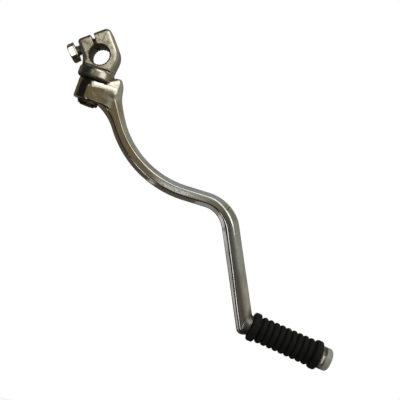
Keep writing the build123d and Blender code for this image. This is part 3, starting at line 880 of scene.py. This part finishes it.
def flangeProfile():  # one flange: end face, two round corners and inner face
    start = rubber["start"]
    face = start + rubber["flangeLength"]
    low = rubber["flange"] - rubber["flangeRound"]
    inset = rubber["faceInset"]
    turns = np.linspace(0, math.pi / 2, rubber["cornerPoints"])
    corner = [(rubber["flangeRound"] * (1 - math.cos(turn)), low + rubber["flangeRound"] * math.sin(turn))
              for turn in turns]
    endRadii = np.linspace(rubber["bore"] + rubber["boreLip"], low - inset, rubber["endPoints"])
    faceRadii = np.linspace(low - inset, rubber["valley"] + inset, rubber["facePoints"])
    profile = [(start, rubber["bore"])]
    profile += [(start, radius) for radius in endRadii]
    profile += [(start + inward, radius) for inward, radius in corner]
    profile += [(face - inward, radius) for inward, radius in corner[::-1]]
    profile += [(face, radius) for radius in faceRadii]
    return profile


def ribProfile():
    start = rubber["start"] + rubber["flangeLength"] + rubber["land"]
    half = rubber["pitch"] / 2
    bow = (half ** 2 + rubber["ribHeight"] ** 2) / (2 * rubber["ribHeight"])
    spread = math.asin(half / bow)
    profile = []
    for rib in range(rubber["ribs"]):
        middle = start + (rib + 0.5) * rubber["pitch"]
        for turn in np.linspace(-spread, spread, rubber["ribPoints"] + 1)[:-1]:
            radius = rubber["valley"] + rubber["ribHeight"] - bow * (1 - math.cos(turn))
            profile.append((middle + bow * math.sin(turn), radius))
    profile.append((start + rubber["ribs"] * rubber["pitch"], rubber["valley"]))
    return profile


def rubberMaterial():
    material, board = newMaterial("black_rubber")
    place = board.place()
    grain = board.noise(place, *rubber["grain"])
    dust = board.patches(place, *rubber["dust"])
    colour = board.layers(rubber["colours"], "black", {"dusty": dust * rubber["dustShare"]})
    roughness = mixed(rubber["rough"], {"grain": grain})
    surface(board, colour, 0.0, roughness, board.bump(grain, rubber["grainDepth"]), rubber["specular"])
    return material


def makeRubber():
    flange = flangeProfile()
    ends = 2 * rubber["start"] + rubber["length"]
    mirrored = [(ends - along, radius) for along, radius in flange[::-1]]
    profile = np.array(flange + ribProfile() + mirrored)  # from the bore round the outside
    angle = fullTurn(rubber["columns"])
    along = np.repeat(profile[:, :1], len(angle), 1)
    radius = np.repeat(profile[:, 1:], len(angle), 1)
    wobble = sum(strength * np.sin(lobes * angle + twist * along + phase)
                 for lobes, twist, phase, strength in rubber["waves"])
    wobble = wobble / sum(wave[-1] for wave in rubber["waves"])
    outer = easeStep(radius, rubber["bore"] + rubber["outerFrom"], rubber["valley"])
    radius = radius + rubber["sag"] * outer * (wobble - rubber["sink"])
    way = np.array((math.cos(pedalDrop), 0, -math.sin(pedalDrop)))
    turned = np.broadcast_to(angle, along.shape)
    points = alongAxis((elbowX, 0, elbowZ), way, along, radius, turned).reshape(-1, 3)
    faces = ringFaces(len(profile), len(angle), closed=True)
    black = rubberMaterial()
    addPiece("ribbed_rubber", points, faces, "lever_body", "pedal_rubber", black)


# Washer, circlip, ball and spring, which keep their CAD meshes

smallSteel = {  # name, roughness, light and dark colour
    "thrust_washer": ("plain_washer_steel", 0.55, (0.30, 0.27, 0.22), (0.18, 0.16, 0.12)),
    "circlip": ("dark_clip_steel", 0.6, (0.10, 0.09, 0.075), (0.05, 0.045, 0.036)),
    "detent_ball": ("polished_ball_steel", 0.10, (0.70, 0.70, 0.70), (0.58, 0.58, 0.57)),
    "detent_spring": ("oiled_spring_steel", 0.26, (0.45, 0.45, 0.44), (0.28, 0.27, 0.25)),
}
steelGrain = {
    "cloud": (300, 4), "cloudRough": 0.12,
    "scratchScale": (400, 400, 4000), "scratchDetail": 2, "scratchDepth": 0.012,
}


def steelMaterial(name, rough, light, dark):
    material, board = newMaterial(name)
    place = board.place()
    cloud = board.noise(place, *steelGrain["cloud"])
    stretched = board.stretched(place, steelGrain["scratchScale"])
    scratch = board.noise(stretched, 1, steelGrain["scratchDetail"])
    colour = board.blend(cloud, light, dark)
    roughness = rough + cloud * steelGrain["cloudRough"]
    surface(board, colour, 1.0, roughness, board.bump(scratch, steelGrain["scratchDepth"]))
    return material


def dressSmallSteel():
    for node, steel in smallSteel.items():
        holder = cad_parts[node].data
        holder.materials.clear()
        holder.materials.append(steelMaterial(*steel))


makeArm()
makeKnuckle()
makeBolt()
makeRubber()
dressSmallSteel()
print("pieces and finishes done")


# Stage, light and camera

view = {  # millimetres and degrees
    "roll": 19.5, "centre": (102.2, -480.0, -73.9), "lens": 59.4, "sensor": 36.0,
}
roll = math.radians(view["roll"])
pictureRight = (math.cos(roll), 0.0, math.sin(roll))
pictureUp = (-math.sin(roll), 0.0, math.cos(roll))
towardsCamera = (0.0, -1.0, 0.0)


def makeCamera():
    camera = placed("photo_camera", bpy.data.cameras.new("photo_camera"))
    columns = Matrix((pictureRight, pictureUp, towardsCamera)).transposed().to_4x4()
    camera.matrix_world = Matrix.Translation([value * mm for value in view["centre"]]) @ columns
    camera.data.sensor_fit = "HORIZONTAL"
    camera.data.sensor_width = view["sensor"]
    camera.data.lens = view["lens"]
    bpy.context.scene.camera = camera


room = {  # what the chrome mirrors, by direction; each range is where a change starts and ends
    "taupe": (0.205, 0.165, 0.10), "umber": (0.10, 0.096, 0.088), "dark": (0.012, 0.009, 0.006),
    "olive": (0.27, 0.25, 0.175), "brown": (0.12, 0.10, 0.075), "grey": (0.36, 0.365, 0.34),
    "shade": (0.17, 0.16, 0.12), "daylight": (0.8, 0.8, 0.8), "white": (1, 1, 1),
    "sideways": (0.95, 0.3), "rising": (1.2, 1.0),  # shares of the picture's right and up
    "brightSide": (0.1, 0.55), "warmRise": (-0.45, -0.15), "frontMiddle": (0.80, 0.93),
    "backMiddle": (0.8, 0.97), "backWall": (0.0, 0.3),
}


def slanted(shares):
    return [shares[0] * right + shares[1] * up for right, up in zip(pictureRight, pictureUp)]


def makeWorld():
    world = bpy.data.worlds.new("studio_room")
    bpy.context.scene.world = world
    world.use_nodes = True
    board = Board(world.node_tree)
    way = board.node("TexCoord", {}, {}, "Generated")
    front, side, high = [
        board.node("VectorMath", {"operation": "DOT_PRODUCT"}, {0: way, 1: axis}, "Value")
        for axis in (towardsCamera, slanted(room["sideways"]), slanted(room["rising"]))
    ]
    back = -1 * front
    bright = board.step(side, *room["brightSide"])
    rim = board.blend(bright, room["dark"], room["olive"])
    middle = board.blend(board.step(high, *room["warmRise"]), room["umber"], room["taupe"])
    frontWall = board.blend(board.step(front, *room["frontMiddle"]), rim, middle)
    backWall = board.blend(bright, room["brown"], room["grey"])
    backWall = board.blend(board.step(back, *room["backMiddle"]), backWall, room["shade"])
    mirrored = board.blend(board.step(back, *room["backWall"]), frontWall, backWall)
    colour = board.blend(board.ray("Glossy"), room["daylight"], mirrored)
    colour = board.blend(board.ray("Camera"), colour, room["white"])
    shader = board.node("Background", {}, {"Color": colour})
    board.node("OutputWorld", {}, {"Surface": shader})


lamps = {  # centre, the point it faces, size in millimetres, brightness, turn in degrees
    "low_window": ((302, -297, 41), (126, -12, -139), (270, 38), 3.0, 1.8),
    "mid_window": ((249, -274, 130), (73, 11, -50), (330, 164), 0.9, 1.8),
    "high_window": ((119, -239, 312), (-57, 46, 132), (285, 253), 2.1, 1.8),
    "ceiling_lamp": ((-50, -121.5, 13), (-20, -6, -4), (30, 26), 0.045, 19.5),
    "doorway": ((-55, -192, -225), (145, 0, -105), (118, 50), 1.9, 60),
    "low_doorway": ((-31, -168, -294), (153, -8, -137), (60, 56), 1.7, 0),
    "sky_card": ((237, -231, -86), (145, 0, -105), (140, 120), 0.09, 19.5),
    "paper": ((3, 54, -240), (103, 54, -264), (36, 188), 0.42, 0),
    "bend_paper": ((110, 6, -106), (117, -4, -80), (16, 20), 0.22, 0),
    "hub_card": ((18, -138, 49), (3, -11, -20), (60, 75), 0.9, 19.5),
    "front_paper": ((108, -120, -43), (108, 0, -61), (112, 56), 0.2, 19.5),
    "side_paper": ((372, -65, -25), (145, 0, -105), (220, 200), 0.12, 0),
}
lampTints = {"sky_card": (0.02, 0.4, 1), "front_paper": (0.88, 0.95, 1), "side_paper": (0.8, 0.86, 1)}
lampSpreads = {"ceiling_lamp": 24}  # degrees, and 180 for the others


def makeLamps():
    for name, (centre, facing, size, glow, turn) in lamps.items():
        data = bpy.data.lights.new(name, "AREA")
        data.shape = "RECTANGLE"
        data.size = size[0] * mm
        data.size_y = size[1] * mm
        data.energy = glow * math.pi * data.size * data.size_y
        data.color = lampTints.get(name, (1, 1, 1))
        data.spread = math.radians(lampSpreads.get(name, 180))
        holder = placed(name, data)
        holder.location = Vector(centre) * mm
        aim = (Vector(facing) * mm - Vector(centre) * mm).to_track_quat("-Z", "Y")
        aim = aim @ Quaternion((0, 0, 1), math.radians(turn))
        holder.rotation_euler = aim.to_euler()
        holder.visible_camera = False


paleFloor = {  # millimetres
    "height": -400.0, "radius": 400.0, "centre": (90.0, 0.0), "corners": 96,
    "colours": {"pale": (0.95, 0.95, 0.95), "paler": (0.98, 0.98, 0.98)}, "paper": (40, 3),
    "rough": 0.9, "whiteShare": 0.6,
}


def floorMaterial():
    material, board = newMaterial("pale_floor")
    paper = board.noise(board.place(), *paleFloor["paper"])
    colour = board.layers(paleFloor["colours"], "pale", {"paler": paper})
    lit = board.node("BsdfPrincipled", {}, {"Base Color": colour, "Roughness": paleFloor["rough"]})
    white = board.node("Emission", {}, {"Color": (1, 1, 1, 1)})
    share = board.ray("Camera") * paleFloor["whiteShare"]
    shader = board.node("MixShader", {}, {0: share, 1: lit, 2: white})
    board.node("OutputMaterial", {}, {"Surface": shader})
    return material


def makeFloor():
    centreX, centreY = paleFloor["centre"]
    radius = paleFloor["radius"]
    turn = fullTurn(paleFloor["corners"])
    height = np.full_like(turn, paleFloor["height"])
    rim = np.stack((centreX + radius * np.cos(turn), centreY + radius * np.sin(turn), height), 1) * mm
    mesh = bpy.data.meshes.new("pale_floor")
    mesh.from_pydata(rim.tolist(), [], [tuple(range(len(rim)))])
    mesh.materials.append(floorMaterial())
    floor = placed("pale_floor", mesh)
    floor.visible_glossy = False


makeCamera()
makeWorld()
makeLamps()
makeFloor()
bpy.context.scene.view_settings.view_transform = "Standard"
print("stage ready")
